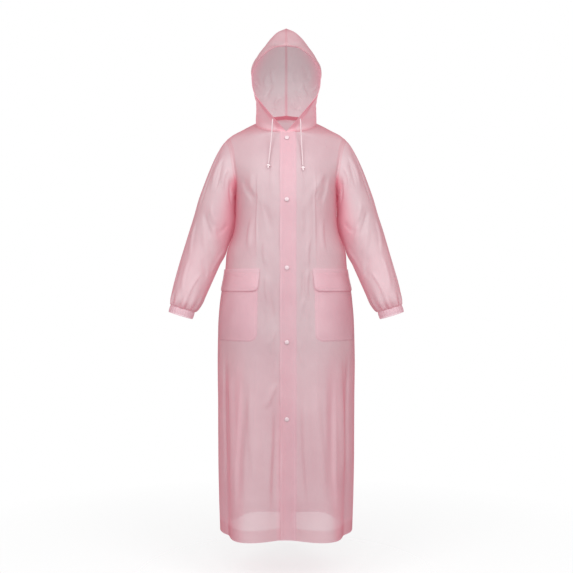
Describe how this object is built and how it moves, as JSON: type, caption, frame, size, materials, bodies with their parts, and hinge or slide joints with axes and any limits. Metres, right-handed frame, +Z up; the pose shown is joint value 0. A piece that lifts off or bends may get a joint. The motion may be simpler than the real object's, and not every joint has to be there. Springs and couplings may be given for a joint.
{
  "type": "hooded raincoat",
  "caption": "Long hooded raincoat of frosted pink film with a snap front, flap pockets and gathered cuffs, in the hollow shape it has when worn.",
  "frame": {"origin": "the base of the neck, level with the neck end of the shoulder seams, midway between them: where the wearer holds the coat", "axes": "+X the wearer's left, -Y the way the wearer faces, +Z up"},
  "size_m": [0.7194, 0.3985, 1.5608],
  "materials": {
    "frosted_film": "frosted translucent film, semi-gloss",
    "white_plastic": "smooth moulded",
    "white_cord": "braided cord"
  },
  "bodies": {
    "root": {"front_right": "frosted_film", "front_left": "frosted_film", "back": "frosted_film", "snap_band": "frosted_film", "under_band": "frosted_film", "hem_front_right": "frosted_film", "hem_front_left": "frosted_film", "hem_back": "frosted_film", "pocket_right": "frosted_film", "pocket_left": "frosted_film", "pocket_flap_right": "frosted_film", "pocket_flap_left": "frosted_film", "sleeve_right": "frosted_film", "sleeve_left": "frosted_film", "cuff_right": "frosted_film", "cuff_left": "frosted_film", "hood_right": "frosted_film", "hood_left": "frosted_film", "hood_casing_right": "frosted_film", "hood_casing_left": "frosted_film", "neck_tape": "frosted_film", "drawcord_right": "white_cord", "drawcord_left": "white_cord", "cord_knot_right": "white_cord", "cord_knot_left": "white_cord", "snap_1": "white_plastic", "snap_2": "white_plastic", "snap_3": "white_plastic", "snap_4": "white_plastic", "snap_5": "white_plastic"}
  },
  "joints": []
}
